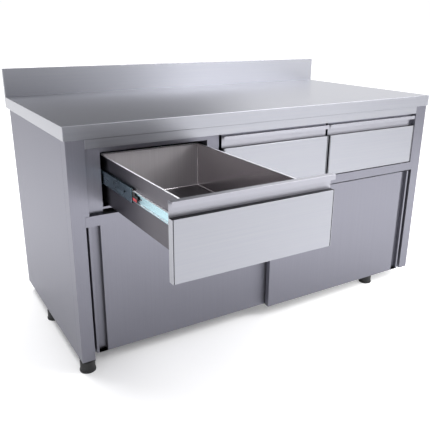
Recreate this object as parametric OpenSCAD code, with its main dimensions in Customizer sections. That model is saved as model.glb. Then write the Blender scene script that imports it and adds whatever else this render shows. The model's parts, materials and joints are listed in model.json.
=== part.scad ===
// Stainless steel work cabinet with three drawers above two sliding doors.
// Millimetres, +Z up, +X to the right, +Y to the back. The origin is on the floor,
// at the centre of the front left foot.

/* [Worktop] */
// length of the worktop from left to right
worktop_length = 1600; // [1500:10:1800]
// depth of the worktop from front to back
worktop_depth = 800; // [740:10:900]
// height of the worktop above the floor
working_height = 850; // [820:5:950]
// height of the turned-down edge
worktop_edge = 45; // [35:1:60]
// width of the edge's return underneath
edge_return = 15; // [12:1:20]
// thickness of the worktop sheet
worktop_sheet = 1.5; // [1.2:0.1:2]
// height of the upstand above the worktop
upstand_height = 110; // [60:5:150]
// thickness of the boxed upstand
upstand_thickness = 20; // [15:1:30]
// how far the worktop stands out past the sides of the carcass
side_overhang = 5; // [3:1:12]
// how far the worktop stands out past the front of the posts
front_overhang = 4; // [2:1:12]
// how far the worktop stands out past the back of the carcass
back_overhang = 50; // [30:5:80]
// thickness of the laminated board glued under the worktop sheet
board_thickness = 18; // [12:1:25]
// gap between the board and the edge's return
board_gap = 1; // [0.5:0.5:4]

/* [Carcass] */
// thickness of the panels, shelves and door skins
panel_sheet = 1.2; // [1:0.1:1.5]
// thickness of the rails
rail_sheet = 1.5; // [1.2:0.1:2]
// outside size of the square post
post_size = 46; // [40:1:55]
// wall of the square post
post_wall = 1.5; // [1.2:0.1:2.5]
// width that the stile adds to the post beside the drawers
stile_width = 14; // [10:1:20]
// how far the drawer face frame lies behind the front of the posts
frame_recess = 19; // [17:1:24]
// height of the posts above the floor
base_gap = 44; // [40:1:70]
// width of the narrow flanges on the panels
panel_flange = 20; // [15:1:25]
// width of the rear flange on a side panel
rear_flange = 30; // [26:1:40]
// width of the bottom flange on a side panel, which carries a foot socket
foot_flange = 45; // [45:1:55]
// height of the top rail's face
top_rail_height = 30; // [24:1:40]
// depth of the top rail's upper flange
top_rail_depth = 41; // [38:1:60]
// height from the middle rail to the top rail
drawer_zone = 214; // [205:1:260]
// height of the middle rail's face
middle_rail_height = 35; // [35:1:45]
// height of the rear flange of the middle rail
middle_rail_back = 30; // [20:1:34]

/* [Shelves] */
// height of the bottom shelf's folded edge
shelf_fold = 38; // [36:1:50]
// width of the front and rear returns under the bottom shelf
shelf_return = 40; // [36:1:50]
// gap between the rear door and the bottom shelf
shelf_door_gap = 9; // [8:1:20]
// height of the middle shelf above the bottom shelf
shelf_spacing = 215; // [150:5:260]
// height of the middle shelf's folded edge
middle_shelf_fold = 30; // [20:1:40]
// width of the return under the middle shelf's edges
middle_shelf_return = 18; // [15:1:25]
// how far the middle shelf lies behind the bottom shelf's front
middle_shelf_setback = 34; // [20:1:120]
// gap between the middle shelf and the panels round it
middle_shelf_gap = 1.5; // [1:0.1:4]
// how far a shelf lug stands out of its panel
lug_reach = 13; // [10:1:16]
// width of a shelf lug
lug_width = 30; // [20:1:50]
// height of a shelf lug
lug_height = 12; // [8:1:20]

/* [Drawers] */
// width of one opening in the face frame
opening_width = 386; // [340:1:400]
// height of one opening in the face frame
opening_height = 178; // [172:1:220]
// height of the opening's lower edge above the middle rail
opening_sill = 19; // [16:1:24]
// width of the strip under the openings
sill_strip = 7; // [5:1:10]
// height of the face frame above the openings
header_height = 30; // [24:1:40]
// width of the upright slot in the face frame between two bays
mullion_slot = 10; // [6:1:12]
// gap between two drawer fronts
front_gap = 10; // [6:1:16]
// height of the drawer front without its pull
front_height = 159; // [150:1:200]
// gap between the drawer front and the middle rail
front_foot_gap = 4; // [3:1:8]
// thickness of the sheet of the drawer front and the pull
front_sheet = 1.2; // [1:0.1:1.5]
// height of the drawer's pull above the front
pull_height = 42; // [34:1:46]
// height of the rim that hangs from the front of the pull
pull_rim = 14; // [8:1:18]
// thickness of the sheet of the drawer box
box_sheet = 1; // [0.8:0.1:1.2]
// height of the drawer box
box_height = 154; // [120:1:160]
// length of the drawer box
box_length = 612; // [600:1:640]
// height of the drawer box's bottom above the middle rail
box_lift = 28; // [24:1:32]
// width of the hem along the top of the drawer box
hem_width = 5; // [3:0.5:8]
// height of the hem
hem_height = 2; // [2:0.5:4]

/* [Runners] */
// length of a runner
runner_length = 600; // [580:5:600]
// gap between the drawer box and the slide support, filled by the runner
runner_width = 13; // [12.7:0.1:15]
// thickness of a runner's steel
runner_steel = 1.2; // [1:0.1:1.4]
// height of the cabinet member
cabinet_member_height = 46; // [42:1:52]
// height of the drawer member
drawer_member_height = 30; // [26:1:32]
// height of the runner's middle line above the middle rail
runner_lift = 117; // [105:1:120]
// distance of the runner behind the back of the drawer front
runner_setback = 3; // [1:0.5:8]
// distance of the middle member behind the front end of the other two
middle_member_setback = 50; // [30:1:60]
// length of a slot in a member's web
web_slot_length = 14; // [8:1:20]
// height of a slot in a member's web
web_slot_height = 6; // [4:0.5:8]
// gap between two runner members that slide in one another
runner_gap = 0.4; // [0.3:0.1:0.8]
// length of a ball cage
cage_length = 200; // [150:5:240]
// distance of the ball cage from the front end of its middle member
cage_setback = 24; // [15:1:60]
// full travel of a drawer
drawer_travel = 568; // [500:1:568]
// length of the plastic release latch
latch_length = 18; // [14:1:24]
// how far the left drawer is pulled out as the part is drawn
left_drawer_pull = 568; // [0:1:568]

/* [Doors] */
// thickness of a door
door_thickness = 22; // [20:1:24]
// gap between the front door's back and the rear door's face
door_spacing = 8; // [6:1:10]
// how far the front door's face lies behind the face of the posts
door_setback = 1; // [0.5:0.5:2]
// gap between a post and the closed door beside it
door_end_gap = 14; // [8:1:20]
// how far the two closed doors overlap
door_overlap = 38; // [30:1:60]
// gap between the middle rail and the top of the doors
door_top_gap = 4; // [3:1:8]
// height of the doors' bottom edge above the bottom of the posts
door_lift = 2.5; // [2:0.5:6]
// full travel of a door
door_travel = 660; // [500:1:660]
// width of the recessed grip at the outer end of a door
grip_width = 40; // [36:0.5:60]
// depth of the recessed grip
grip_depth = 18; // [14:0.5:18]
// width of the flat edge of the door outside the grip
grip_edge = 11.5; // [8:0.5:14]
// depth of the rim that fingers hook behind on the grip's inner side
grip_rim = 5; // [3:0.5:8]
// height of the closed part above and below the open side of the grip
grip_bridge = 12; // [6:1:40]
// width of the slanted end of the door
end_slant = 3; // [2:0.5:5]
// width of the flanges inside the door
door_flange = 14; // [10:1:18]
// width of the guide channel in the door's bottom
channel_width = 6; // [5:0.5:8]
// depth of the guide channel
channel_depth = 16; // [14:1:20]

/* [Door gear] */
// thickness of the track's webs and flanges
track_wall = 2; // [1.6:0.1:2.5]
// distance of a roller's middle plane behind its door's face
roller_plane = 14; // [13:0.5:15]
// radius of the roller's groove, which is the radius that it rolls on
groove_radius = 8; // [7:0.5:9]
// depth of the roller's groove
groove_depth = 3; // [2:0.5:3]
// width of the roller's groove
groove_width = 3; // [2.8:0.1:4]
// width of the roller
roller_width = 10; // [8:0.5:11]
// radius of the roller's axle pin
axle_radius = 3; // [2.5:0.1:4]
// running clearance round the axle pin
axle_clearance = 0.05; // [0.03:0.01:0.1]
// gap between the rail's lip and the bottom of the roller's groove
rail_gap = 0.3; // [0.3:0.1:0.5]
// height of the rail's lip above its flange
rail_lip = 5; // [4:0.5:6]
// gap between the track's flange and the hanger's foot
track_door_gap = 5.5; // [5:0.5:8]
// length of a stop on the rail
stop_length = 8; // [5:1:12]
// thickness of a hanger's plate
hanger_plate = 2.5; // [2:0.1:3]
// length of a hanger along the door
hanger_length = 60; // [40:5:80]
// distance of a hanger's middle from the end of its door
hanger_inset = 95; // [90:5:200]
// length of the floor guide along the doors
guide_length = 28; // [20:1:32]
// thickness of the floor guide's plate
guide_plate = 2; // [1.5:0.1:2.5]
// thickness of a fin of the floor guide
fin_thickness = 3; // [2:0.1:4]
// height of a fin of the floor guide above its plate
fin_height = 12; // [8:1:13]

/* [Feet] */
// radius of a foot's pad
foot_radius = 28; // [24:1:30]
// radius of a foot's body
foot_body_radius = 26; // [20:1:27]
// height of a foot's pad
foot_pad_height = 8; // [5:1:12]
// gap between the foot and the plate above it
foot_gap = 0.7; // [0.5:0.1:3]
// radius of the threaded stud that a foot is screwed on
stud_radius = 6; // [5:0.5:8]
// length of a stud below its plate
stud_length = 26; // [20:1:28]
// running clearance round the stud
stud_clearance = 0.05; // [0.03:0.01:0.1]
// gap between the end of a stud and the bottom of the foot's bore
stud_end_gap = 4; // [3:0.5:8]
// thickness of the plate that carries a stud
stud_plate = 3; // [2:0.5:4]
// half the width of a stud's plate
plate_half = 20; // [16:1:23]
// height of the plug inside a post
plug_height = 30; // [20:1:50]
// clearance between a plug and its post
plug_clearance = 0; // [0:0.05:0.2]
// distance of the middle left foot from the front of the worktop
middle_foot_y = 440; // [300:5:500]
// distance of the middle feet from the outer face of the side panels
middle_foot_inset = 24; // [22:0.5:28]
// distance of the front right foot from the right end of the worktop
front_right_foot_inset = 228; // [120:1:400]
// distance of the front right foot from the front of the worktop
front_right_foot_y = 46; // [40:1:80]
// distance of the rear feet from the back of the shelf
rear_foot_setback = 20; // [20:1:30]
// distance of the rear feet from the ends of the worktop
rear_foot_inset = 80; // [75:1:200]

/* [Fasteners] */
// radius of a blind rivet's shank
rivet_radius = 2.4; // [2:0.1:3]
// radius of a blind rivet's head
rivet_head_radius = 4.5; // [4:0.1:6]
// height of a blind rivet's head
rivet_head_height = 1.3; // [1:0.1:2]
// clearance between a rivet and its hole
rivet_clearance = 0.05; // [0.05:0.01:0.1]
// number of rivets up each rear edge
rivets_per_edge = 6; // [4:1:9]

/* [Hidden] */
$fn = 48;

// a cut reaches this far past the face that it leaves
cut = 1;

// the carcass in the worktop's own frame, X from its left end, Y from its front
left_x = side_overhang;
right_x = worktop_length - side_overhang;
front_y = front_overhang;
back_y = worktop_depth - back_overhang;
top_z = working_height - worktop_edge;
post_right = left_x + post_size;
post_back = front_y + post_size;
corner_foot = [left_x + post_size / 2, front_y + post_size / 2];

// rails and the drawer bays between the stiles
top_rail_z = top_z - top_rail_height;
middle_top_z = top_rail_z - drawer_zone;
middle_bottom_z = middle_top_z - middle_rail_height;
bays_x = post_right + stile_width;
bay_pitch = (worktop_length - 2 * bays_x) / 3;
frame_y = front_y + frame_recess;
support_y = frame_y + panel_sheet;
panel_inner_y = back_y - 2 * panel_sheet;
opening_z = middle_top_z + opening_sill;
function bay_x(k) = bays_x + bay_pitch * (k + 0.5);
function opening_left(k) = bay_x(k) - opening_width / 2;
function opening_right(k) = bay_x(k) + opening_width / 2;

// drawers
front_width = bay_pitch - front_gap;
front_z = middle_top_z + front_foot_gap;
front_top_z = front_z + front_height;
pull_top_z = front_top_z + pull_height;
box_width = opening_width - 2 * runner_width;
box_z = middle_top_z + box_lift;
box_top_z = box_z + box_height;
function pull_out(k) = k == 0 ? left_drawer_pull : 0;

// runners
runner_y = frame_y + runner_setback;
runner_end = runner_y + runner_length;
middle_member_y = runner_y + middle_member_setback;
runner_z = middle_top_z + runner_lift;
middle_member_height = cabinet_member_height - 2 * runner_steel - 2 * runner_gap;
cage_top = middle_member_height / 2 - runner_steel;
cage_bottom = drawer_member_height / 2 + runner_gap;
middle_member_x = 4.5;
latch_y = middle_member_y + drawer_travel / 2 - latch_length - 2;
web_slot_shares = [0.09, 0.475, 0.86];

// doors
door_width = (worktop_length - 2 * (post_right + door_end_gap) + door_overlap) / 2;
door_top_z = middle_bottom_z - door_top_gap;
door_bottom_z = base_gap + door_lift;
front_door_y = front_y + door_setback;
rear_door_y = front_door_y + door_thickness + door_spacing;
left_door_x = post_right + door_end_gap;
right_door_x = worktop_length - left_door_x;
grip_end = end_slant + grip_width;
fin_plane = door_thickness / 2;

// door gear
hanger_z = door_top_z + hanger_plate;
flange_z = hanger_z + track_door_gap;
lip_top_z = flange_z + track_wall + rail_lip;
axle_z = lip_top_z + rail_gap + groove_radius;
track_top_z = middle_top_z - rail_sheet;
roller_radius = groove_radius + groove_depth;
hanger_y = roller_plane - roller_width / 2 - 1.5 - hanger_plate;
axle_end = roller_plane + roller_width / 2 + 1;
web_y = roller_plane + roller_width / 2 + 7;

// bottom shelf
shelf_bottom_z = base_gap + panel_sheet;
shelf_top_z = shelf_bottom_z + shelf_fold;
shelf_front_y = rear_door_y + door_thickness + shelf_door_gap;
middle_shelf_z = shelf_top_z + shelf_spacing;
middle_shelf_front = shelf_front_y + middle_shelf_setback;
shelf_back_y = panel_inner_y;

// feet
foot_top_z = base_gap - stud_plate - foot_gap;
shelf_rear_foot_y = shelf_back_y - rear_foot_setback;
middle_foot_left = left_x + middle_foot_inset;
middle_foot_right = right_x - middle_foot_inset;
feet = [
  corner_foot,
  [middle_foot_left, middle_foot_y],
  [rear_foot_inset, shelf_rear_foot_y],
  [worktop_length - front_right_foot_inset, front_right_foot_y],
  [middle_foot_right, middle_foot_y],
  [worktop_length - rear_foot_inset, shelf_rear_foot_y]
];

// a folded sheet: the path is one face of the sheet, the other lies t to its left
function side_of(a, b) = let (d = (b - a) / norm(b - a)) [-d[1], d[0]];
function shifted(p, t) = [
  for (i = [0 : len(p) - 1])
    let (
      before = side_of(p[max(i - 1, 0)], p[max(i, 1)]),
      last = len(p) - 1,
      after = i < last ? side_of(p[i], p[i + 1]) : before
    )
    p[i] + (before + after) / (1 + before * after) * t
];
function backwards(p) = [for (i = [len(p) - 1 : -1 : 0]) p[i]];
function folded(p, t) = concat(p, backwards(shifted(p, t)));

// profiles drawn as (Y, Z) and run along X, or as (X, Z) and run along Y
module along_x(x0, x1) {
  translate([x0, 0, 0]) rotate([90, 0, 90]) linear_extrude(x1 - x0) children();
}
module along_y(y0, y1) {
  translate([0, y1, 0]) rotate([90, 0, 0]) linear_extrude(y1 - y0) children();
}
module block(a, b) {
  translate(a) cube(b - a);
}
module in_place() {
  translate([-corner_foot[0], -corner_foot[1], 0]) children();
}
// the right-hand twin of a piece drawn on the left
module on_right() {
  translate([worktop_length, 0, 0]) mirror([1, 0, 0]) children();
}
module pin_y(x, y0, y1, z, r) {
  translate([x, y1, z]) rotate([90, 0, 0]) cylinder(h = y1 - y0, r = r);
}

// worktop
module worktop() {
  t = worktop_sheet;
  upstand_y = worktop_depth - upstand_thickness;
  in_place() color("silver") difference() {
    union() {
      block([0, 0, top_z], [worktop_length, worktop_depth, working_height]);
      block([0, upstand_y, top_z], [worktop_length, worktop_depth, working_height + upstand_height]);
    }
    block([t, t, top_z + t], [worktop_length - t, worktop_depth - t, working_height - t]);
    block([t, upstand_y + t, top_z + t],
          [worktop_length - t, worktop_depth - t, working_height + upstand_height - t]);
    block([edge_return, edge_return, top_z - cut],
          [worktop_length - edge_return, worktop_depth - edge_return, top_z + t + cut]);
  }
}

module worktop_board() {
  inset = edge_return + board_gap;
  high = working_height - worktop_sheet;
  in_place() color("tan") block([inset, inset, high - board_thickness],
                                [worktop_length - inset, worktop_depth - inset, high]);
}

// posts, drawn for the left side
module post() {
  inner = post_size - 2 * post_wall;
  difference() {
    block([left_x, front_y, base_gap], [post_right, post_back, top_z]);
    translate([left_x + post_wall, front_y + post_wall, base_gap - cut])
      cube([inner, inner, top_z - base_gap + 2 * cut]);
  }
  translate([0, 0, middle_top_z]) linear_extrude(top_z - middle_top_z) polygon(folded([
    [post_right, front_y], [bays_x, front_y], [bays_x, frame_y]
  ], post_wall));
}
module front_left_post() {
  in_place() color("silver") post();
}
module front_right_post() {
  in_place() color("silver") on_right() post();
}

// lugs for the middle shelf, one near the front and one near the back of each side
lug_ys = [middle_shelf_front + 60, panel_inner_y - 90];
lug_z = middle_shelf_z - middle_shelf_fold - lug_height;

// side panels, drawn for the left side
module side_panel() {
  t = panel_sheet;
  difference() {
    union() {
      block([left_x, post_back, base_gap], [left_x + t, back_y, top_z]);
      block([left_x, post_back, base_gap], [left_x + panel_flange, post_back + t, top_z]);
      block([left_x, back_y - t, base_gap], [left_x + rear_flange, back_y, top_z]);
      block([left_x, post_back, top_z - t], [left_x + panel_flange, back_y, top_z]);
      block([left_x, post_back, base_gap], [left_x + foot_flange, back_y, base_gap + t]);
      for (y = lug_ys)
        block([left_x, y - lug_width / 2, lug_z], [left_x + t + lug_reach, y + lug_width / 2, lug_z + lug_height]);
    }
    for (z = rivet_zs)
      pin_y(left_x + rear_flange / 2, back_y - t - cut, back_y + cut, z, rivet_radius + rivet_clearance);
  }
}
module left_side_panel() {
  in_place() color("gray") side_panel();
}
module right_side_panel() {
  in_place() color("gray") on_right() side_panel();
}

// back panel, held by the side panels' rear flanges
rivet_zs = [
  for (i = [0 : rivets_per_edge - 1])
    shelf_top_z + 30 + i * (top_z - shelf_top_z - 60) / (rivets_per_edge - 1)
];
back_panel_gap = 1;
module back_panel() {
  t = panel_sheet;
  x0 = left_x + t + back_panel_gap;
  x1 = worktop_length - x0;
  neck = left_x + panel_flange + back_panel_gap;
  in_place() color("gray") difference() {
    union() {
      block([x0, panel_inner_y, base_gap + t], [x1, panel_inner_y + t, top_z - t]);
      block([neck, panel_inner_y + t - panel_flange, top_z - t], [worktop_length - neck, panel_inner_y + t, top_z]);
      for (x = [worktop_length / 3, worktop_length * 2 / 3])
        block([x - lug_width / 2, panel_inner_y - lug_reach, lug_z], [x + lug_width / 2, panel_inner_y + t, lug_z + lug_height]);
    }
    for (z = rivet_zs) {
      pin_y(left_x + rear_flange / 2, panel_inner_y - cut, back_y, z, rivet_radius + rivet_clearance);
      pin_y(right_x - rear_flange / 2, panel_inner_y - cut, back_y, z, rivet_radius + rivet_clearance);
    }
  }
}
module back_rivets() {
  in_place() color("silver") for (x = [left_x + rear_flange / 2, right_x - rear_flange / 2], z = rivet_zs) {
    pin_y(x, panel_inner_y - 1, back_y + rivet_head_height / 2, z, rivet_radius);
    pin_y(x, back_y, back_y + rivet_head_height, z, rivet_head_radius);
  }
}

// rails
module top_rail() {
  in_place() color("silver") along_x(bays_x, worktop_length - bays_x) polygon(folded([
    [frame_y, top_rail_z], [front_y, top_rail_z], [front_y, top_z], [front_y + top_rail_depth, top_z]
  ], -rail_sheet));
}
middle_rail_end = web_y + rear_door_y + track_wall + 6;
module middle_rail() {
  in_place() color("silver") along_x(post_right, worktop_length - post_right) polygon(folded([
    [front_y, middle_bottom_z], [front_y, middle_top_z],
    [middle_rail_end, middle_top_z], [middle_rail_end, middle_top_z - middle_rail_back]
  ], -rail_sheet));
}

// the upright slot between two bays, through the face frame and the web behind it
module mullion_cut(k) {
  x = bays_x + bay_pitch * k;
  block([x - mullion_slot / 2, frame_y - cut, opening_z],
        [x + mullion_slot / 2, support_y + panel_sheet + cut, opening_z + opening_height + header_height / 2]);
}

// the frame that the drawer fronts close against
module drawer_face_frame() {
  z0 = opening_z - sill_strip;
  z1 = opening_z + opening_height + header_height;
  in_place() color("silver") difference() {
    block([post_right, frame_y, z0], [worktop_length - post_right, support_y, z1]);
    for (k = [0 : 2])
      block([opening_left(k), frame_y - cut, opening_z],
            [opening_right(k), support_y + cut, opening_z + opening_height]);
    for (k = [1, 2]) mullion_cut(k);
  }
}

// folded pieces behind the frame that carry the runners
module slide_support(path) {
  translate([0, 0, middle_top_z])
    linear_extrude(top_z - rail_sheet - middle_top_z) polygon(folded(path, panel_sheet));
}
support_flange = 25;
// the end support: a web behind the jamb, a long side, and a flange on the back panel
module end_support() {
  x = opening_left(0);
  slide_support([
    [post_right + cut, support_y], [x, support_y], [x, panel_inner_y], [x - support_flange, panel_inner_y]
  ]);
}
module divider(k) {
  difference() {
    slide_support([
      [opening_right(k) + support_flange, panel_inner_y], [opening_right(k), panel_inner_y],
      [opening_right(k), support_y], [opening_left(k + 1), support_y],
      [opening_left(k + 1), panel_inner_y], [opening_left(k + 1) - support_flange, panel_inner_y]
    ]);
    mullion_cut(k + 1);
  }
}
module left_slide_support() {
  in_place() color("silver") end_support();
}
module right_slide_support() {
  in_place() color("silver") on_right() end_support();
}
module left_divider() {
  in_place() color("silver") divider(0);
}
module right_divider() {
  in_place() color("silver") divider(1);
}

// shelves
module bottom_shelf() {
  t = panel_sheet;
  x0 = left_x + t;
  x1 = right_x - t;
  in_place() color("silver") difference() {
    block([x0, shelf_front_y, shelf_bottom_z], [x1, shelf_back_y, shelf_top_z]);
    block([x0 + t, shelf_front_y + t, shelf_bottom_z + t], [x1 - t, shelf_back_y - t, shelf_top_z - t]);
    block([x0 + t, shelf_front_y + shelf_return, shelf_bottom_z - cut],
          [x1 - t, shelf_back_y - shelf_return, shelf_bottom_z + t + cut]);
    block([x0 + t, shelf_front_y + t, shelf_bottom_z - cut],
          [left_x + foot_flange, shelf_back_y - t, shelf_bottom_z + t + cut]);
    block([right_x - foot_flange, shelf_front_y + t, shelf_bottom_z - cut],
          [x1 - t, shelf_back_y - t, shelf_bottom_z + t + cut]);
  }
}
module middle_shelf() {
  t = panel_sheet;
  g = middle_shelf_gap;
  x0 = left_x + t + g;
  x1 = right_x - t - g;
  y1 = panel_inner_y - g;
  z0 = middle_shelf_z - middle_shelf_fold;
  r = middle_shelf_return;
  in_place() color("silver") difference() {
    block([x0, middle_shelf_front, z0], [x1, y1, middle_shelf_z]);
    block([x0 + t, middle_shelf_front + t, z0 + t], [x1 - t, y1 - t, middle_shelf_z - t]);
    block([x0 + r, middle_shelf_front + r, z0 - cut], [x1 - r, y1 - r, z0 + t + cut]);
  }
}

// the double track under the middle rail: a plate with one hooked rail for each door
module hooked_rail(face_y) {
  lip0 = face_y + roller_plane - track_wall / 2;
  web0 = face_y + web_y;
  polygon(folded([
    [lip0, lip_top_z], [lip0, flange_z], [web0 + track_wall, flange_z], [web0 + track_wall, track_top_z]
  ], track_wall));
}
// a stop on the rail's lip, which a roller meets at the end of the door's travel
module track_stop(x, face_y) {
  y = face_y + roller_plane;
  block([x, y - track_wall / 2, flange_z], [x + stop_length, y + track_wall * 2, axle_z]);
}
module track_stops(face_y) {
  reach = roller_radius + rail_gap;
  track_stop(left_door_x + hanger_xs[0] - reach - stop_length, face_y);
  track_stop(left_door_x + hanger_xs[1] + door_travel + reach, face_y);
}
module door_track() {
  in_place() color("silver") {
    along_x(post_right + cut, worktop_length - post_right - cut) {
      polygon([
        [front_door_y + hanger_y, track_top_z - track_wall / 2], [rear_door_y + web_y + track_wall, track_top_z - track_wall / 2],
        [rear_door_y + web_y + track_wall, track_top_z], [front_door_y + hanger_y, track_top_z]
      ]);
      hooked_rail(front_door_y);
      hooked_rail(rear_door_y);
    }
    track_stops(rear_door_y);
    on_right() track_stops(front_door_y);
  }
}

// the guide between the doors' bottoms, fixed under the shelf's front return
module door_floor_guide() {
  x0 = (worktop_length - guide_length) / 2;
  x1 = x0 + guide_length;
  y0 = front_door_y + fin_plane - fin_thickness / 2;
  in_place() color("white") {
    block([x0, y0, shelf_bottom_z - guide_plate], [x1, shelf_front_y + shelf_return, shelf_bottom_z]);
    for (y = [front_door_y, rear_door_y])
      block([x0, y + fin_plane - fin_thickness / 2, shelf_bottom_z - guide_plate],
            [x1, y + fin_plane + fin_thickness / 2, shelf_bottom_z + fin_height]);
  }
}

// studs for the feet: a plug in each front post, plates under the flanges
module stud(p, z) {
  translate([p[0], p[1], z - stud_plate - stud_length]) cylinder(h = stud_length + cut, r = stud_radius);
}
module plug(x) {
  half = post_size / 2 - post_wall - plug_clearance;
  translate([x - half, corner_foot[1] - half, base_gap]) cube([2 * half, 2 * half, plug_height]);
}
module foot_sockets() {
  half = post_size / 2;
  in_place() color([0.1, 0.1, 0.1]) {
    plug(corner_foot[0]);
    plug(worktop_length - corner_foot[0]);
    translate([corner_foot[0] - half, corner_foot[1] - half, base_gap - stud_plate])
      cube([post_size, post_size, stud_plate]);
    stud(corner_foot, base_gap);
    for (i = [1, 4]) {
      translate([feet[i][0] - plate_half, feet[i][1] - plate_half, base_gap - stud_plate])
        cube([2 * plate_half, 2 * plate_half, stud_plate]);
      stud(feet[i], base_gap);
    }
    for (i = [2, 3, 5]) {
      front = feet[i][1] - plate_half;
      back = i == 3 ? shelf_front_y + shelf_return : feet[i][1] + plate_half;
      block([feet[i][0] - plate_half, front, shelf_bottom_z - stud_plate],
            [feet[i][0] + plate_half, back, shelf_bottom_z]);
      stud(feet[i], shelf_bottom_z);
    }
  }
}

// feet
foot_bore_z = base_gap - stud_plate - stud_length - stud_end_gap;
module foot(i) {
  in_place() color([0.08, 0.08, 0.08]) translate([feet[i][0], feet[i][1], 0]) difference() {
    union() {
      cylinder(h = foot_pad_height, r = foot_radius);
      cylinder(h = foot_top_z, r = foot_body_radius);
    }
    translate([0, 0, foot_bore_z]) cylinder(h = foot_top_z, r = stud_radius + stud_clearance);
  }
}
module front_left_foot() { foot(0); }
module middle_left_foot() { foot(1); }
module rear_left_foot() { foot(2); }
module front_right_foot() { foot(3); }
module middle_right_foot() { foot(4); }
module rear_right_foot() { foot(5); }

// a drawer's own frame: X from the middle of its bay, moved out by its pull
module drawer_place(k, share) {
  in_place() translate([bay_x(k), -pull_out(k) * share, 0]) children();
}
module drawer_box(k) {
  t = box_sheet;
  w = hem_width;
  half = box_width / 2;
  end_y = frame_y + box_length;
  drawer_place(k, 1) color("silver") difference() {
    block([-half, frame_y, box_z], [half, end_y, box_top_z]);
    block([-half + t, frame_y + t, box_z + t], [half - t, end_y - t, box_top_z - hem_height]);
    block([-half + w, frame_y + w, box_z + t], [half - w, end_y - w, box_top_z + cut]);
  }
}
module drawer_front(k) {
  t = front_sheet;
  half = front_width / 2;
  window = box_width / 2 - 10;
  drawer_place(k, 1) color("lightgray") difference() {
    block([-half, front_y, front_z], [half, frame_y, front_top_z]);
    block([-half + t, front_y + t, front_z + t], [half - t, frame_y - t, front_top_z - t]);
    block([-window, front_y + t, box_z + 10], [window, frame_y + cut, front_top_z - 10]);
  }
}
module drawer_pull(k) {
  t = front_sheet;
  half = front_width / 2;
  outline = [
    [frame_y - t, front_top_z], [frame_y - t, pull_top_z - t],
    [front_y + t, pull_top_z - t], [front_y + t, pull_top_z - pull_rim]
  ];
  drawer_place(k, 1) color("lightgray") along_x(-half, half) polygon(folded(outline, -t));
}
module drawer_1_box() { drawer_box(0); }
module drawer_2_box() { drawer_box(1); }
module drawer_3_box() { drawer_box(2); }
module drawer_1_front() { drawer_front(0); }
module drawer_2_front() { drawer_front(1); }
module drawer_3_front() { drawer_front(2); }
module drawer_1_pull() { drawer_pull(0); }
module drawer_2_pull() { drawer_pull(1); }
module drawer_3_pull() { drawer_pull(2); }

// runners: X from the slide support towards the box, for the left one; both sides of a drawer
module both_sides(k, share) {
  drawer_place(k, share) for (s = [0, 1])
    mirror([s, 0, 0]) translate([-opening_width / 2, 0, runner_z]) children();
}
module web_slot(x, y) {
  r = web_slot_height / 2;
  reach = 2 * runner_steel;
  end = web_slot_length / 2 - r;
  block([x - reach, y - end, -r], [x + reach, y + end, r]);
  for (s = [-1, 1])
    translate([x - reach, y + s * end, 0]) rotate([0, 90, 0]) cylinder(h = 2 * reach, r = r);
}
module channel(x_web, x_lip, height, start) {
  h = height / 2;
  side = x_lip > x_web ? 1 : -1;
  difference() {
    along_y(start, runner_end)
      polygon(folded([[x_lip, h], [x_web, h], [x_web, -h], [x_lip, -h]], side * runner_steel));
    for (share = web_slot_shares)
      web_slot(x_web, start + (runner_end - start) * share);
  }
}
module runner_cabinet_members(k) {
  color("lightsteelblue") both_sides(k, 0)
    channel(0, middle_member_x + 6, cabinet_member_height, runner_y);
}
module runner_middle_members(k) {
  color("lightsteelblue") both_sides(k, 0.5)
    channel(middle_member_x, runner_width - 1.5, middle_member_height, middle_member_y);
}
module runner_ball_cages(k) {
  x0 = middle_member_x + runner_steel + 1;
  x1 = runner_width - runner_steel - 1;
  y0 = middle_member_y + cage_setback;
  color("gray") both_sides(k, 0.5) for (s = [0, 1])
    mirror([0, 0, s]) block([x0, y0, cage_bottom], [x1, y0 + cage_length, cage_top]);
}
module runner_drawer_members(k) {
  color("lightsteelblue") both_sides(k, 1)
    channel(runner_width, middle_member_x + runner_steel + 1, drawer_member_height, runner_y);
}
module runner_latches(k) {
  h = drawer_member_height / 2 - runner_steel;
  x0 = middle_member_x + runner_steel + 1;
  x1 = runner_width - runner_steel;
  color([0.1, 0.1, 0.1]) both_sides(k, 1) {
    block([x0, latch_y, -h], [x1, latch_y + latch_length, h]);
    block([x0, latch_y - latch_length, -h / 3], [x0 + 2.5, latch_y, h / 3]);
  }
}
module runner_1_cabinet_members() { runner_cabinet_members(0); }
module runner_2_cabinet_members() { runner_cabinet_members(1); }
module runner_3_cabinet_members() { runner_cabinet_members(2); }
module runner_1_middle_members() { runner_middle_members(0); }
module runner_2_middle_members() { runner_middle_members(1); }
module runner_3_middle_members() { runner_middle_members(2); }
module runner_1_ball_cages() { runner_ball_cages(0); }
module runner_2_ball_cages() { runner_ball_cages(1); }
module runner_3_ball_cages() { runner_ball_cages(2); }
module runner_1_drawer_members() { runner_drawer_members(0); }
module runner_2_drawer_members() { runner_drawer_members(1); }
module runner_3_drawer_members() { runner_drawer_members(2); }
module runner_1_latches() { runner_latches(0); }
module runner_2_latches() { runner_latches(1); }
module runner_3_latches() { runner_latches(2); }

// doors: X from the outer end, Y from the face. The left door runs behind the right one.
module door_place(right) {
  in_place()
    if (right) translate([right_door_x, front_door_y, 0]) mirror([1, 0, 0]) children();
    else translate([left_door_x, rear_door_y, 0]) children();
}
module door_skin(right) {
  t = panel_sheet;
  back = door_thickness - t;
  path = [
    [door_flange, back], [0, back], [0, back * 0.7], [end_slant, 0],
    [grip_edge, 0], [grip_edge, grip_depth], [grip_end - end_slant, grip_depth], [grip_end, 0],
    [door_width, 0], [door_width, back], [door_width - door_flange, back]
  ];
  height = door_top_z - door_bottom_z;
  door_place(right) color("lightgray") translate([0, 0, door_bottom_z]) difference() {
    linear_extrude(height) polygon(folded(path, t));
    block([grip_end - end_slant - 1, grip_rim, grip_bridge], [grip_end + t + 1, grip_depth, height - grip_bridge]);
  }
}
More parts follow.
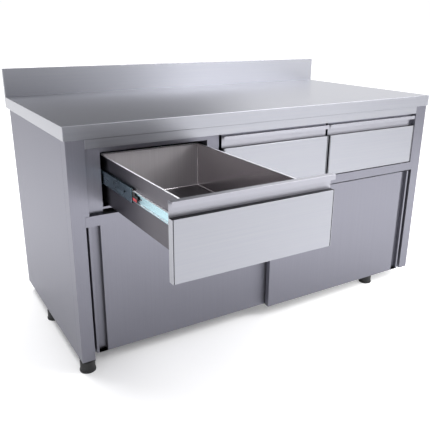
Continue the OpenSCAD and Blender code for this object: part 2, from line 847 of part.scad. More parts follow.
// the back skin: a cap turned forward at the top, and the guide channel turned in at the bottom
module door_back(right) {
  t = panel_sheet;
  z0 = door_bottom_z + t;
  rear = fin_plane + channel_width / 2;
  front = fin_plane - channel_width / 2;
  x0 = grip_end + 3;
  x1 = door_width - door_flange - t;
  outline = [
    [t + 0.2, door_top_z], [door_thickness, door_top_z], [door_thickness, z0], [rear, z0],
    [rear, z0 + channel_depth], [front, z0 + channel_depth], [front, z0], [t + 0.2, z0]
  ];
  door_place(right) color("gray") {
    along_x(x0, x1) polygon(folded(outline, -t));
    block([0, door_thickness - t, door_bottom_z + t], [x0, door_thickness, door_top_z]);
    block([x1, door_thickness - t, door_bottom_z + t], [door_width, door_thickness, door_top_z]);
  }
}
hanger_xs = [hanger_inset, door_width - hanger_inset];
module door_hangers(right) {
  door_place(right) color("silver") for (x = hanger_xs) {
    block([x - hanger_length / 2, hanger_y, door_top_z], [x + hanger_length / 2, door_thickness - 2, hanger_z]);
    block([x - hanger_length / 2, hanger_y, door_top_z], [x + hanger_length / 2, hanger_y + hanger_plate, axle_z + 6]);
    pin_y(x, hanger_y, axle_end + 1.5, axle_z, axle_radius);
    pin_y(x, axle_end, axle_end + 1.5, axle_z, axle_radius + 2);
  }
}
module roller(right, x) {
  h = roller_width / 2;
  g = groove_width / 2;
  bore = axle_radius + axle_clearance;
  door_place(right) color("white") translate([x, roller_plane, axle_z]) rotate([90, 0, 0])
    rotate_extrude() polygon([
      [bore, -h], [roller_radius, -h], [roller_radius, -g - 1], [groove_radius, -g],
      [groove_radius, g], [roller_radius, g + 1], [roller_radius, h], [bore, h]
    ]);
}
module left_door_skin() { door_skin(false); }
module right_door_skin() { door_skin(true); }
module left_door_back() { door_back(false); }
module right_door_back() { door_back(true); }
module left_door_hangers() { door_hangers(false); }
module right_door_hangers() { door_hangers(true); }
module left_door_outer_roller() { roller(false, hanger_xs[0]); }
module left_door_inner_roller() { roller(false, hanger_xs[1]); }
module right_door_outer_roller() { roller(true, hanger_xs[0]); }
module right_door_inner_roller() { roller(true, hanger_xs[1]); }

worktop();
worktop_board();
front_left_post();
front_right_post();
left_side_panel();
right_side_panel();
back_panel();
top_rail();
middle_rail();
drawer_face_frame();
left_slide_support();
left_divider();
right_divider();
right_slide_support();
bottom_shelf();
middle_shelf();
door_track();
door_floor_guide();
foot_sockets();
back_rivets();
front_left_foot();
middle_left_foot();
rear_left_foot();
front_right_foot();
middle_right_foot();
rear_right_foot();
drawer_1_box();
drawer_1_front();
drawer_1_pull();
drawer_2_box();
drawer_2_front();
drawer_2_pull();
drawer_3_box();
drawer_3_front();
drawer_3_pull();
runner_1_cabinet_members();
runner_1_middle_members();
runner_1_ball_cages();
runner_1_drawer_members();
runner_1_latches();
runner_2_cabinet_members();
runner_2_middle_members();
runner_2_ball_cages();
runner_2_drawer_members();
runner_2_latches();
runner_3_cabinet_members();
runner_3_middle_members();
runner_3_ball_cages();
runner_3_drawer_members();
runner_3_latches();
left_door_skin();
left_door_back();
left_door_hangers();
left_door_outer_roller();
left_door_inner_roller();
right_door_skin();
right_door_back();
right_door_hangers();
right_door_outer_roller();
right_door_inner_roller();
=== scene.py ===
# Looks of the stainless steel work cabinet: finishes, folded edges, fittings, studio and camera.
import json
import math

import bmesh
import bpy
from mathutils import Matrix, Vector

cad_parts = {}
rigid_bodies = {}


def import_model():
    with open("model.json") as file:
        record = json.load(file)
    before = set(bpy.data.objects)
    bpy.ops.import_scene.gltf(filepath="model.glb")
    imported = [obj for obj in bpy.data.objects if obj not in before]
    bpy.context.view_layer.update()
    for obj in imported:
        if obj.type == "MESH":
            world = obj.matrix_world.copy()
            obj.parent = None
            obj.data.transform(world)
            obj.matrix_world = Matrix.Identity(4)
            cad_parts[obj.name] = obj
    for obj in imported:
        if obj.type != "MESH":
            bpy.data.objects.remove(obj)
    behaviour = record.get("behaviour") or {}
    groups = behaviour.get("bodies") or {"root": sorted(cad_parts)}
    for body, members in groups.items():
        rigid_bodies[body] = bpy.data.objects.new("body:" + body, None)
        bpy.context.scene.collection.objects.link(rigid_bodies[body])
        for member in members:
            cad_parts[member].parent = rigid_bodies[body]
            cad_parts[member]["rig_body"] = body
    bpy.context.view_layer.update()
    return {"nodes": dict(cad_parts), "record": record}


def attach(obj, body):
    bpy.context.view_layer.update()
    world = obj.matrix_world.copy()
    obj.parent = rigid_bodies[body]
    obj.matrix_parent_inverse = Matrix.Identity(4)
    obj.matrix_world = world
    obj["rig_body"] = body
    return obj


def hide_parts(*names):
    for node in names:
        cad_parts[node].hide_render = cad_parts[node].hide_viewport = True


MM = 0.001
MERGE_DISTANCE = 0.002 * MM
CUT_DISTANCE = 0.001 * MM
FLAT_ANGLE = math.radians(0.5)
FOLD_ANGLE = math.radians(25)
SHARP_ANGLE = math.radians(35.0)

SEAM_START = 1.6 * MM
SEAM_END = 3.6 * MM
SEAM_DEPTH = 6.0 * MM
SEAM_MIDDLE = 2.6 * MM
SEAM_HALF_WIDTH = 1.01 * MM
HEM_HEIGHT = 2.2 * MM

LATCH_LENGTH = 18 * MM
LEVER_BEHIND_LATCH = 11 * MM
LEVER_ON_LATCH = 15 * MM
LEVER_BOTTOM = 12 * MM
LEVER_TOP = 3.5 * MM
LEVER_REACH = 1.5 * MM

CAGE_STRIP_HALF = 0.5 * MM
BALLS_IN_A_ROW = 16
BAY_X = {1: 0.282, 2: 0.772, 3: 1.262}

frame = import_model()
NODES = frame["nodes"]
BODY_OF = {name: piece["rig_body"] for name, piece in NODES.items()}
SLOT_OF = {row["node"]: row["material_slot"] for row in frame["record"]["subparts"]}


# Colours and material nodes

def linear(hex_code):
    """An sRGB hex colour as the linear RGBA that Blender's sockets hold."""
    parts = [int(hex_code[i:i + 2], 16) / 255 for i in (0, 2, 4)]
    flat = [c / 12.92 if c <= 0.04045 else ((c + 0.055) / 1.055) ** 2.4 for c in parts]
    return (*flat, 1.0)


def add_node(tree, kind, inputs=None, **settings):
    """A node of one kind; an input is a plain value, or a socket to link from."""
    made = tree.nodes.new(kind)
    for name, value in settings.items():
        setattr(made, name, value)
    for name, value in (inputs or {}).items():
        if isinstance(value, bpy.types.NodeSocket):
            tree.links.new(value, made.inputs[name])
        else:
            made.inputs[name].default_value = value
    return made


def new_material(name):
    """An empty material with its tree, its shader and the object's own coordinates."""
    made = bpy.data.materials.new(name)
    made.use_nodes = True
    tree = made.node_tree
    tree.nodes.clear()
    shader = add_node(tree, "ShaderNodeBsdfPrincipled")
    add_node(tree, "ShaderNodeOutputMaterial", {"Surface": shader.outputs["BSDF"]})
    place = add_node(tree, "ShaderNodeTexCoord").outputs["Object"]
    return made, tree, shader, place


def stretched_noise(tree, place, scale, detail=3.0, roughness=0.55):
    """Noise whose grain is drawn out by a different scale on each axis, per metre."""
    turned = add_node(tree, "ShaderNodeMapping", {"Vector": place, "Scale": scale})
    return add_node(tree, "ShaderNodeTexNoise", {
        "Vector": turned.outputs["Vector"], "Scale": 1.0, "Detail": detail, "Roughness": roughness,
    }).outputs["Fac"]


def spread(tree, value, low, high):
    """Maps the middle band of a noise, where nearly all its values lie, onto low to high."""
    return add_node(tree, "ShaderNodeMapRange", {
        "Value": value, "From Min": 0.3, "From Max": 0.7, "To Min": low, "To Max": high,
    }).outputs["Result"]


def two_colours(tree, share, first, second):
    """A colour between two hex colours, by the share."""
    mix = add_node(tree, "ShaderNodeMix", data_type="RGBA")
    colours = [s for s in mix.inputs if s.type == "RGBA"]
    tree.links.new(share, mix.inputs[0])
    colours[0].default_value = linear(first)
    colours[1].default_value = linear(second)
    return [s for s in mix.outputs if s.type == "RGBA"][0]


def colour_by_noise(tree, shader, noise, dark, light, rough):
    """Lets one noise move a surface's colour and its roughness between two values each."""
    share = spread(tree, noise, 0.0, 1.0)
    tree.links.new(two_colours(tree, share, dark, light), shader.inputs["Base Color"])
    tree.links.new(spread(tree, noise, *rough), shader.inputs["Roughness"])


def bump_by_noise(tree, shader, noise, strength, height):
    """Raises a surface by a noise, to a height in metres."""
    lift = add_node(tree, "ShaderNodeBump", {"Strength": strength, "Distance": height, "Height": noise})
    tree.links.new(lift.outputs["Normal"], shader.inputs["Normal"])


# The grain's scale on each axis, per metre: 420 puts the brush lines 2.4 mm apart.
GRAIN = {"x": (2.5, 420.0, 420.0), "z": (420.0, 420.0, 2.5)}
# A direction square to the grain, off both other axes so that it crosses every face.
ACROSS = {"x": (0.0, 0.55, 0.83), "z": (0.83, 0.55, 0.0)}


def brushed_stainless(name, along, dark, light, rough=(0.28, 0.31)):
    """Sheet steel with a satin grain rolled and brushed along one axis.

    The real scratches are about 0.1 mm apart. They are drawn 2.4 mm apart so that they still show,
    and they spread a highlight across the grain, as the real ones do."""
    made, tree, shader, place = new_material(name)
    grain = stretched_noise(tree, place, GRAIN[along], 4.0, 0.6)
    colour_by_noise(tree, shader, grain, dark, light, rough)
    shader.inputs["Metallic"].default_value = 1.0
    bump_by_noise(tree, shader, grain, 0.01, 0.4 * MM)
    shader.inputs["Anisotropic"].default_value = 0.75
    across = add_node(tree, "ShaderNodeCombineXYZ", dict(zip("XYZ", ACROSS[along])))
    tree.links.new(across.outputs["Vector"], shader.inputs["Tangent"])
    return made


def polished_stainless(name):
    """Bright cold-rolled sheet, a soft mirror with long shallow waves and faint rolling lines."""
    made, tree, shader, place = new_material(name)
    lines = stretched_noise(tree, place, (300.0, 4.0, 300.0))
    waves = stretched_noise(tree, place, (7.0, 5.0, 7.0), 2.0)
    share = spread(tree, waves, 0.0, 1.0)
    tree.links.new(two_colours(tree, share, "d4cfd1", "dcd8d9"), shader.inputs["Base Color"])
    tree.links.new(spread(tree, lines, 0.2, 0.24), shader.inputs["Roughness"])
    shader.inputs["Metallic"].default_value = 1.0
    bump_by_noise(tree, shader, waves, 0.04, 2.0 * MM)
    return made


def zinc_plate(name, dark, light):
    """Bright zinc plating with a thin blue passivation, a little paler in soft patches."""
    made, tree, shader, place = new_material(name)
    patches = stretched_noise(tree, place, (30.0, 6.0, 30.0), 2.0)
    colour_by_noise(tree, shader, patches, dark, light, (0.20, 0.34))
    shader.inputs["Metallic"].default_value = 1.0
    return made


def plain_metal(name, dark, light, rough, size):
    """Bare metal with fine rolling or drawing marks; size is their scale on each axis, per metre."""
    made, tree, shader, place = new_material(name)
    marks = stretched_noise(tree, place, size)
    colour_by_noise(tree, shader, marks, dark, light, rough)
    shader.inputs["Metallic"].default_value = 1.0
    return made


def moulded_plastic(name, dark, light, rough):
    """Injection-moulded plastic with a fine spark-eroded grain, about 1 mm between its bumps."""
    made, tree, shader, place = new_material(name)
    skin = stretched_noise(tree, place, (900.0, 900.0, 900.0), 2.0)
    tone = stretched_noise(tree, place, (35.0, 35.0, 35.0), 2.0)
    colour_by_noise(tree, shader, tone, dark, light, rough)
    shader.inputs["IOR"].default_value = 1.5
    bump_by_noise(tree, shader, skin, 0.15, 0.3 * MM)
    return made


# Marks that run along the depth of the cabinet, marks that stand upright, and marks without a direction
MARKS_ALONG_DEPTH = (260.0, 3.0, 260.0)
MARKS_UPRIGHT = (260.0, 260.0, 3.0)
MARKS_ALL_WAYS = (90.0, 90.0, 90.0)

# The brushed sheets: a long soft highlight across the grain. The upright sheets are rougher, and their
# colour is darker as painted shade.
STEEL_X = brushed_stainless("satin_stainless_grain_across", "x", "8f9097", "939499")
# Painted shade: the upright-grained steel has a darker colour than the across-grain steel.
STEEL_Z_PAINTED_SHADE = brushed_stainless("satin_stainless_grain_upright_painted_shade", "z", "7a7a83", "7e7e87", (0.38, 0.42))
# Painted light: the pulls' steel is a slightly paler copy of the across-grain steel.
PULL_STEEL_PAINTED_LIGHT = brushed_stainless("satin_stainless_pull_painted_light", "x", "919198", "97979e")

# The drawer boxes: bright polished walls, a pale back that is painted light, a dark floor and outside that
# are painted shade, and hems with a painted highlight
BRIGHT_STEEL = polished_stainless("cold_rolled_stainless_bright")
# Painted shade: a dark copy of the steel for the boxes' outer sides, and a darker one for their floors.
BOX_OUTSIDE_PAINTED_SHADE = plain_metal("box_outside_painted_shade_steel", "4a474c", "56535a", (0.3, 0.4), MARKS_ALONG_DEPTH)
BOX_FLOOR_PAINTED_SHADE = plain_metal("box_floor_painted_shade_steel", "353237", "3f3c41", (0.3, 0.4),
                        MARKS_ALONG_DEPTH)
# Painted light: a pale copy of the steel for the boxes' backs.
BOX_BACK_PAINTED_LIGHT = plain_metal("box_back_painted_light_steel", "bebabd", "cac7c9", (0.5, 0.56), MARKS_UPRIGHT)
# Painted highlight: a near-white copy of the steel for the drawer boxes' hems and the runners' upper lips.
PAINTED_HIGHLIGHT_EDGE = plain_metal("painted_highlight_edge_steel", "e4e4e8", "f0f0f3", (0.42, 0.5), MARKS_ALL_WAYS)
# Painted shade: a dark steel colour for the seams beside each drawer front's face and for the ledge under
# its pull.
PAINTED_SHADE_STEEL = plain_metal("painted_shade_seam_steel", "2c2a2e", "343236", (0.5, 0.6), MARKS_ALL_WAYS)

# The runners: blue-white zinc outside, and a darker copy with painted shade where one member lies inside
# another
ZINC = zinc_plate("zinc_plated_runner_steel", "93b3bc", "a9c8cf")
# Painted shade: the same zinc, darker, for the cabinet and middle members.
PAINTED_SHADE_ZINC = zinc_plate("zinc_plated_steel_painted_shade", "566a74", "6b7f88")
CAGE_STEEL = plain_metal("cage_strip_steel", "74767c", "8b8d92", (0.3, 0.45), (200.0, 12.0, 200.0))
RED_PLASTIC = moulded_plastic("red_acetal_lever", "b3202a", "c92b36", (0.3, 0.4))

# The fittings: a matt grey track drawn along its length, soft grey rivets, black and milky plastic,
# and a pale beige board under the worktop
TRACK_METAL = plain_metal("anodised_track_aluminium", "b4b6ba", "c6c8cb", (0.35, 0.45),
                          (4.0, 300.0, 300.0))
RIVET_METAL = plain_metal("rivet_aluminium", "a6a8ad", "bcbec2", (0.3, 0.42), MARKS_ALL_WAYS)
BLACK_NYLON = moulded_plastic("moulded_black_nylon", "08080a", "101013", (0.5, 0.62))
WHITE_NYLON = moulded_plastic("natural_nylon", "dcdbd6", "e9e8e4", (0.35, 0.45))
LAMINATE = moulded_plastic("pale_laminate_on_chipboard", "b9aa92", "c6b8a1", (0.5, 0.6))


# Folded sheet: copies of the CAD pieces whose folds are rounded as a press brake leaves them

def width_beside(face, edge):
    """How far a face reaches from one of its edges, measured in the face's own plane."""
    start = edge.verts[0].co
    line = (edge.verts[1].co - start).normalized()
    return max(((v.co - start) - line * (v.co - start).dot(line)).length for v in face.verts)


def folds(mesh, convex, least):
    """Edges where two faces, each wider than least, meet at more than the fold angle."""
    found = []
    for edge in mesh.edges:
        if len(edge.link_faces) != 2 or edge.is_convex != convex:
            continue
        if edge.calc_face_angle(0.0) < FOLD_ANGLE:
            continue
        if min(width_beside(face, edge) for face in edge.link_faces) > least:
            found.append(edge)
    return found


def merged_copy(name):
    """A node's mesh with its loose triangles joined and its flat faces made whole."""
    mesh = bmesh.new()
    mesh.from_mesh(NODES[name].data)
    bmesh.ops.remove_doubles(mesh, verts=mesh.verts, dist=MERGE_DISTANCE)
    bmesh.ops.dissolve_limit(mesh, angle_limit=FLAT_ANGLE, verts=mesh.verts, edges=mesh.edges,
                             use_dissolve_boundaries=False)
    return mesh


def corners(verts):
    """The lowest and the highest corner of the box round some vertices."""
    spans = [sorted(v.co[i] for v in verts) for i in range(3)]
    return Vector(s[0] for s in spans), Vector(s[-1] for s in spans)


def round_folds(mesh, outer, inner, least):
    """Rounds the outer and the inner side of each fold, and takes the sharpness off cut edges."""
    for convex, radius in ((True, outer), (False, inner)):
        if radius > 0:
            bmesh.ops.bevel(mesh, geom=folds(mesh, convex, least), offset=radius, segments=3,
                            profile=0.5, affect="EDGES", clamp_overlap=True, material=-1)


def finish_piece(mesh, name, body, material, nodes=()):
    """Turns a bmesh into a piece of the cabinet that rides on a body and wears one finish."""
    data = bpy.data.meshes.new(name)
    mesh.to_mesh(data)
    mesh.free()
    data.polygons.foreach_set("use_smooth", [True] * len(data.polygons))
    data.set_sharp_from_angle(angle=SHARP_ANGLE)
    data.materials.append(material)
    piece = bpy.data.objects.new(name, data)
    bpy.context.scene.collection.objects.link(piece)
    level = piece.modifiers.new("flat_faces_stay_flat", "WEIGHTED_NORMAL")
    level.keep_sharp = True
    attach(piece, body)
    if nodes:
        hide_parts(*nodes)
    return piece


def rounded(name, material, outer=1.8, inner=0.9, least=2.6, mesh=None):
    """The finished form of a node: its folds and corners rounded, in mm, beside faces wider than least."""
    mesh = mesh or merged_copy(name)
    round_folds(mesh, outer * MM, inner * MM, least * MM)
    return finish_piece(mesh, name + "_finished", BODY_OF[name], material, [name])


def drawer_front(number):
    """The hollow front, with the open seam that its side returns leave beside its face.

    The seams and the ledge under the pull are painted shade: dark steel, where little light gets in."""
    name = "drawer_%d_front" % number
    mesh = merged_copy(name)
    low, high = corners(mesh.verts)
    for start, end in ((low.x + SEAM_START, low.x + SEAM_END), (high.x - SEAM_END, high.x - SEAM_START)):
        for x in (start, end):
            bmesh.ops.bisect_plane(mesh, geom=mesh.verts[:] + mesh.edges[:] + mesh.faces[:],
                                   dist=CUT_DISTANCE, plane_co=(x, 0, 0), plane_no=(1, 0, 0))
        strip = [face for face in mesh.faces if face.normal.y < -0.9
                 and abs(face.calc_center_median().y - low.y) < 0.1 * MM
                 and start < face.calc_center_median().x < end]
        made = bmesh.ops.extrude_face_region(mesh, geom=strip)
        bmesh.ops.delete(mesh, geom=strip, context="FACES_ONLY")
        moved = [part for part in made["geom"] if isinstance(part, bmesh.types.BMVert)]
        bmesh.ops.translate(mesh, verts=moved, vec=(0, SEAM_DEPTH, 0))
    piece = rounded(name, STEEL_X, mesh=mesh)
    # The second finish paints shade into the seams and onto the ledge under the pull.
    piece.data.materials.append(PAINTED_SHADE_STEEL)
    for face in piece.data.polygons:
        inwards = face.center.y - low.y
        from_left = abs(face.center.x - (low.x + SEAM_MIDDLE))
        from_right = abs(face.center.x - (high.x - SEAM_MIDDLE))
        in_seam = min(from_left, from_right) < SEAM_HALF_WIDTH and 0.5 * MM < inwards < 7 * MM
        on_top = face.normal.z > 0.7 and face.center.z > high.z - 1.0 * MM
        if in_seam or (on_top and inwards > 1.5 * MM):
            face.material_index = 1


def drawer_box(number):
    """The drawer's box: bright polished walls, a back with painted light, a floor and outer side with
    painted shade, and hems with a painted highlight.
    """
    name = "drawer_%d_box" % number
    mesh = merged_copy(name)
    low, high = corners(mesh.verts)
    middle = (low + high) / 2
    piece = rounded(name, BRIGHT_STEEL, 1.0, 3.0, 1.5, mesh)
    # Painted light and shade by face: a pale back, a dark floor and outer side, and bright hems.
    for finish in (BOX_OUTSIDE_PAINTED_SHADE, BOX_FLOOR_PAINTED_SHADE, BOX_BACK_PAINTED_LIGHT, PAINTED_HIGHLIGHT_EDGE):
        piece.data.materials.append(finish)
    for face in piece.data.polygons:
        outwards = Vector(face.center) - middle
        if face.center.z > high.z - HEM_HEIGHT:
            face.material_index = 4
        elif face.normal.z > 0.9 and face.center.z < low.z + 3 * MM:
            face.material_index = 2
        elif face.normal.y < -0.9 and face.center.y > middle.y:
            face.material_index = 3
        elif face.normal.z < 0.5 and face.normal.dot(outwards) > 0:
            face.material_index = 1


def drawer_members(number):
    """The runner members on the drawer, whose upper lips wear a painted highlight."""
    piece = rounded("runner_%d_drawer_members" % number, ZINC, 0.8, 0.5)
    piece.data.materials.append(PAINTED_HIGHLIGHT_EDGE)
    # The upward faces get the painted highlight.
    for face in piece.data.polygons:
        if face.normal.z > 0.6:
            face.material_index = 1


def islands(mesh):
    """The separate shells of a mesh, each as its list of vertices."""
    left = set(mesh.verts)
    found = []
    while left:
        shell = {left.pop()}
        edge_of_shell = list(shell)
        while edge_of_shell:
            vert = edge_of_shell.pop()
            for edge in vert.link_edges:
                other = edge.other_vert(vert)
                if other not in shell:
                    shell.add(other)
                    edge_of_shell.append(other)
        left -= shell
        found.append(list(shell))
    return found


def add_block(mesh, low, high, edge):
    """A block between two corners, with its edges rounded."""
    low, high = Vector(low), Vector(high)
    turn = Matrix.Translation((low + high) / 2) @ Matrix.Diagonal((*(high - low), 1.0))
    made = bmesh.ops.create_cube(mesh, size=1.0, matrix=turn)["verts"]
    bmesh.ops.bevel(mesh, geom=list({e for v in made for e in v.link_edges}), offset=edge, segments=2,
                    profile=0.5, affect="EDGES", clamp_overlap=True, material=-1)


def latch_levers(number):
    """The red release lever on each latch, a small tongue along the lower half of its black body."""
    name = "runner_%d_latches" % number
    rounded(name, BLACK_NYLON, 0.6, 0.3, 1.5)
    source = merged_copy(name)
    made = bmesh.new()
    for low, high in map(corners, islands(source)):
        middle = (low.z + high.z) / 2
        back = high.y - LATCH_LENGTH
        outside = low.x if low.x + high.x < BAY_X[number] * 2 else high.x
        reach = LEVER_REACH if outside == low.x else -LEVER_REACH
        xs = sorted((outside - reach * 0.25, outside + reach))
        add_block(made, (xs[0], back - LEVER_BEHIND_LATCH, middle - LEVER_BOTTOM),
                  (xs[1], back + LEVER_ON_LATCH, middle - LEVER_TOP), 0.5 * MM)
    source.free()
    finish_piece(made, "runner_%d_release_levers" % number, "drawer_%d" % number, RED_PLASTIC)


def ball_cages(number):
    """Thin pressed strips that hold the runner's balls in a row."""
    name = "runner_%d_ball_cages" % number
    source = merged_copy(name)
    strip = bmesh.new()
    balls = bmesh.new()
    for low, high in map(corners, islands(source)):
        middle = (low + high) / 2
        radius = (high.z - low.z) / 2
        add_block(strip, (middle.x - CAGE_STRIP_HALF, low.y, low.z),
                  (middle.x + CAGE_STRIP_HALF, high.y, high.z), 0.2 * MM)
        for step in range(BALLS_IN_A_ROW):
            y = low.y + (high.y - low.y) * (step + 0.5) / BALLS_IN_A_ROW
            bmesh.ops.create_uvsphere(balls, u_segments=16, v_segments=10, radius=radius,
                                      matrix=Matrix.Translation((middle.x, y, middle.z)))
    source.free()
    body = BODY_OF[name]
    finish_piece(strip, name + "_strips", body, CAGE_STEEL, [name])
    finish_piece(balls, "runner_%d_balls" % number, body, BRIGHT_STEEL)


for name in ("worktop", "top_rail", "bottom_shelf", "middle_shelf"):
    rounded(name, STEEL_X)
# These sheets wear the darker upright-grained steel, a painted shade; the middle rail and the face frame
# wear it for that shade.
for name in ("middle_rail", "drawer_face_frame", "front_left_post", "front_right_post",
             "left_side_panel", "right_side_panel", "back_panel", "left_slide_support",
             "left_divider", "right_divider", "right_slide_support"):
    rounded(name, STEEL_Z_PAINTED_SHADE)
for number in (1, 2, 3):
    drawer_box(number)
    drawer_front(number)
    # The pulls wear the paler copy, a painted light.
    rounded("drawer_%d_pull" % number, PULL_STEEL_PAINTED_LIGHT)
    drawer_members(number)
    for member in ("cabinet", "middle"):
        # The cabinet and middle members wear the zinc with painted shade.
        rounded("runner_%d_%s_members" % (number, member), PAINTED_SHADE_ZINC, 0.8, 0.5)
    latch_levers(number)
    ball_cages(number)
for side in ("left", "right"):
    rounded(side + "_door_skin", STEEL_Z_PAINTED_SHADE)
    rounded(side + "_door_back", STEEL_Z_PAINTED_SHADE)
    rounded(side + "_door_hangers", ZINC, 0.8, 0.5)
    for end in ("outer", "inner"):
        rounded("%s_door_%s_roller" % (side, end), WHITE_NYLON, 0.8, 0.4)
rounded("door_track", TRACK_METAL, 0.5, 0.4)
rounded("door_floor_guide", WHITE_NYLON, 0.8, 0.4)
rounded("foot_sockets", BLACK_NYLON, 0.6, 0.0)
rounded("worktop_board", LAMINATE, 0.5, 0.0)
rounded("back_rivets", RIVET_METAL, 0.9, 0.0, 1.0)
for corner in ("front_left", "middle_left", "rear_left", "front_right", "middle_right", "rear_right"):
    rounded(corner + "_foot", BLACK_NYLON, 3.0, 1.2)

# Each CAD piece, hidden behind the finished one that stands for it, also gets its slot's finish.
CAD_FINISH = {
    "satin_stainless": STEEL_Z_PAINTED_SHADE,
    "polished_stainless": BRIGHT_STEEL,
    "zinc_plated_steel": ZINC,
    "cage_steel": CAGE_STEEL,
    "track_aluminium": TRACK_METAL,
    "rivet_aluminium": RIVET_METAL,
    "laminated_board": LAMINATE,
    "black_plastic": BLACK_NYLON,
    "white_nylon": WHITE_NYLON,
}
for name, piece in NODES.items():
    piece.data.materials.clear()
    piece.data.materials.append(CAD_FINISH[SLOT_OF[name]])


# Studio: a white floor, a world that is brighter on the right, and soft lamps

BACKDROP_WHITE = 1.03
FLOOR_SIZE = 60.0
# The floor's glow is weakest here and grows away from it: painted shade on the floor, seen in the steel's
# reflections.
FLOOR_PAINTED_SHADE_AT = (0.0, -0.2, 0.0)
FLOOR_GLOW_NEAR = 0.08
FLOOR_GLOW_FAR = 0.5


def background_rays(tree, strength):
    """The strength for rays from the camera, from gloss and through glass, and nothing for the rest."""
    ray = add_node(tree, "ShaderNodeLightPath")
    seen = ray.outputs["Is Camera Ray"]
    for other in ("Is Glossy Ray", "Is Transmission Ray"):
        both = {0: seen, 1: ray.outputs[other]}
        seen = add_node(tree, "ShaderNodeMath", both, operation="MAXIMUM").outputs[0]
    return add_node(tree, "ShaderNodeMath", {0: seen, 1: strength}, operation="MULTIPLY").outputs[0]


def studio_floor():
    """A wide pale floor that looks white but keeps the cabinet's soft shadow.

    Its glow is weak by the front left corner, where the photograph's steel is darker, and grows away from
    there: a painted shade on the floor, which the steel reflects."""
    mesh = bmesh.new()
    bmesh.ops.create_grid(mesh, x_segments=1, y_segments=1, size=FLOOR_SIZE)
    data = bpy.data.meshes.new("studio_floor")
    mesh.to_mesh(data)
    mesh.free()
    made, tree, shader, place = new_material("matt_white_floor")
    shader.inputs["Base Color"].default_value = (0.85, 0.85, 0.85, 1.0)
    shader.inputs["Roughness"].default_value = 0.9
    shader.inputs["Specular IOR Level"].default_value = 0.0
    shader.inputs["Emission Color"].default_value = (1.0, 1.0, 1.0, 1.0)
    ends = {0: place, 1: FLOOR_PAINTED_SHADE_AT}
    away = add_node(tree, "ShaderNodeVectorMath", ends, operation="DISTANCE").outputs["Value"]
    glow = add_node(tree, "ShaderNodeMapRange", {
        "Value": away, "From Min": 0.3, "From Max": 1.9, "To Min": FLOOR_GLOW_NEAR, "To Max": FLOOR_GLOW_FAR,
    }, interpolation_type="SMOOTHSTEP").outputs["Result"]
    tree.links.new(background_rays(tree, glow), shader.inputs["Emission Strength"])
    data.materials.append(made)
    floor = bpy.data.objects.new("studio_floor", data)
    bpy.context.scene.collection.objects.link(floor)


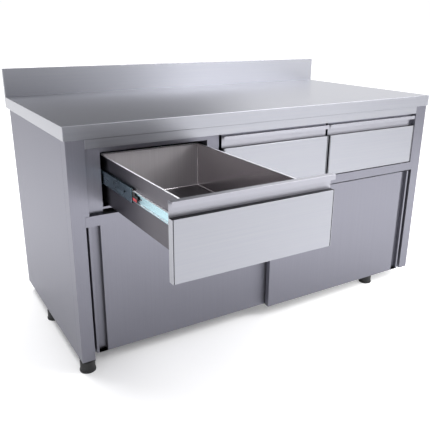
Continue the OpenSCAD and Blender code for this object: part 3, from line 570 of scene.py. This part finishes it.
def studio_world():
    """Soft light from all round; the camera itself sees plain white instead.

    The light is dim on the left and bright on the right, stronger from the front, with a patch high
    up behind the cabinet, and even just above the horizon and below it."""
    world = bpy.data.worlds.new("studio")
    bpy.context.scene.world = world
    world.use_nodes = True
    tree = world.node_tree
    tree.nodes.clear()
    towards = add_node(tree, "ShaderNodeTexCoord").outputs["Generated"]
    parts = add_node(tree, "ShaderNodeSeparateXYZ", {"Vector": towards})
    side = add_node(tree, "ShaderNodeMath", {
        0: parts.outputs["Y"], 1: -0.13, 2: parts.outputs["X"],
    }, operation="MULTIPLY_ADD").outputs[0]
    dim = add_node(tree, "ShaderNodeMapRange", {
        "Value": parts.outputs["Y"], "From Min": -0.6, "From Max": 0.6, "To Min": 0.72, "To Max": 0.15,
    }, interpolation_type="SMOOTHSTEP").outputs["Result"]
    level = add_node(tree, "ShaderNodeMapRange", {
        "Value": side, "From Min": 0.34, "From Max": 0.5, "To Min": dim, "To Max": 1.4,
    }, interpolation_type="SMOOTHSTEP").outputs["Result"]
    ahead = add_node(tree, "ShaderNodeMapRange", {
        "Value": parts.outputs["Y"], "From Min": -0.6, "From Max": 0.2, "To Min": 1.25, "To Max": 0.98,
    }, interpolation_type="SMOOTHSTEP").outputs["Result"]
    above = add_node(tree, "ShaderNodeMapRange", {
        "Value": parts.outputs["Z"], "From Min": 0.6, "From Max": 0.8, "To Min": 0.0, "To Max": 1.8,
    }, interpolation_type="SMOOTHSTEP").outputs["Result"]
    behind = add_node(tree, "ShaderNodeMapRange", {
        "Value": parts.outputs["Y"], "From Min": -0.1, "From Max": 0.25, "To Min": 0.0, "To Max": above,
    }, interpolation_type="SMOOTHSTEP").outputs["Result"]
    level = add_node(tree, "ShaderNodeMath", {0: level, 1: ahead, 2: behind},
                     operation="MULTIPLY_ADD").outputs[0]
    level = add_node(tree, "ShaderNodeMapRange", {
        "Value": parts.outputs["Z"], "From Min": 0.05, "From Max": 0.09, "To Min": 1.0, "To Max": level,
    }, interpolation_type="SMOOTHSTEP").outputs["Result"]
    straight = add_node(tree, "ShaderNodeLightPath").outputs["Is Camera Ray"]
    level = add_node(tree, "ShaderNodeMix", {0: straight, 2: level, 3: BACKDROP_WHITE}).outputs[0]
    light = add_node(tree, "ShaderNodeBackground", {"Strength": level})
    light.inputs["Color"].default_value = (0.98, 0.98, 1.0, 1.0)
    add_node(tree, "ShaderNodeOutputWorld", {"Surface": light.outputs["Background"]})


def soft_lamp(name, place, target, width, height, power):
    """A softbox that faces its target."""
    data = bpy.data.lights.new(name, "AREA")
    data.shape = "RECTANGLE"
    data.size = width
    data.size_y = height
    data.energy = power
    lamp = bpy.data.objects.new(name, data)
    bpy.context.scene.collection.objects.link(lamp)
    away = Vector(place) - Vector(target)
    lamp.matrix_world = Matrix.Translation(place) @ away.to_track_quat("Z", "Y").to_matrix().to_4x4()


CAMERA_PLACE = (-0.47218, -1.62416, 1.13696)
CAMERA_FORWARD = (0.48904636, 0.8082417, -0.32799239)
CAMERA_RIGHT = (0.85670555, -0.51576585, 0.00641864)
FOCAL_LENGTH_PIXELS = 552.231
PICTURE_PIXELS = 430.0
SENSOR_WIDTH_MM = 36.0


def photo_camera():
    """The photograph's camera: ahead of the front left corner, 1.14 m up, turned right and down."""
    forward = Vector(CAMERA_FORWARD).normalized()
    right = Vector(CAMERA_RIGHT).normalized()
    up = right.cross(forward)
    data = bpy.data.cameras.new("photo_camera")
    data.sensor_width = SENSOR_WIDTH_MM
    data.lens = FOCAL_LENGTH_PIXELS / PICTURE_PIXELS * SENSOR_WIDTH_MM
    camera = bpy.data.objects.new("photo_camera", data)
    bpy.context.scene.collection.objects.link(camera)
    turn = Matrix((right, up, -forward)).transposed().to_4x4()
    camera.matrix_world = Matrix.Translation(CAMERA_PLACE) @ turn
    bpy.context.scene.camera = camera


studio_floor()
studio_world()
soft_lamp("lamp_above", (-0.5, 1.5, 3.1), (0.2, 0.0, 0.6), 1.4, 1.4, 55.0)
soft_lamp("lamp_over_floor", (1.9, -1.3, 2.7), (1.7, -0.9, 0.0), 1.4, 1.4, 32.0)
soft_lamp("lamp_front_right", (3.2, -2.2, 2.2), (1.5, -0.5, 0.0), 2.0, 1.2, 62.0)
photo_camera()
bpy.context.scene.view_settings.view_transform = "Standard"
